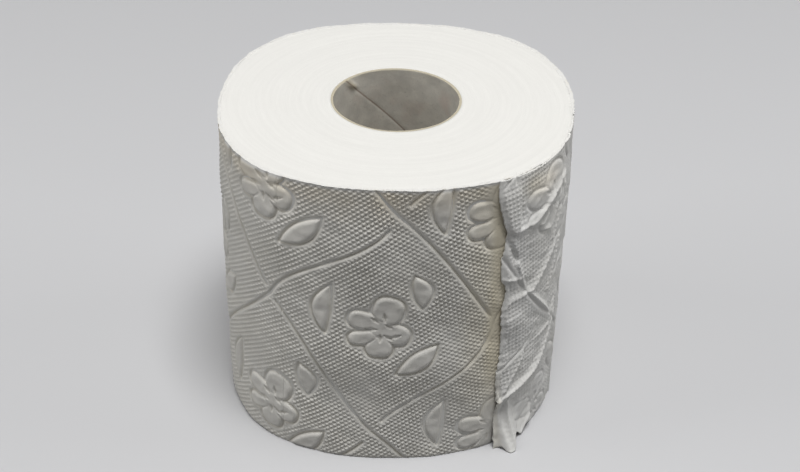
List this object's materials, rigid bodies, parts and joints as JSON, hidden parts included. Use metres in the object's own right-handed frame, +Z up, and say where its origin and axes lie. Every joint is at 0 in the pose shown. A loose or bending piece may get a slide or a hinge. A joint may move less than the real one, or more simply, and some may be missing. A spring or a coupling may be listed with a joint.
{
  "type": "toilet paper roll",
  "caption": "Toilet paper roll standing on its end: embossed white tissue wound on a card tube, with a creased loose tail glued at its edge.",
  "frame": {"origin": "axis of the card tube, at the end that the roll stands on", "axes": "+Z up along the tube's axis; -Y is the front, where the embossed side shows, and the tail's free edge lies to the front right, 52.5 degrees clockwise from +X"},
  "size_m": [0.1094, 0.1056, 0.1],
  "materials": {
    "tissue": "matte, soft, embossed",
    "card": "matte grey board"
  },
  "bodies": {
    "root": {"paper_roll": "tissue", "core_tube": "card"}
  },
  "joints": []
}
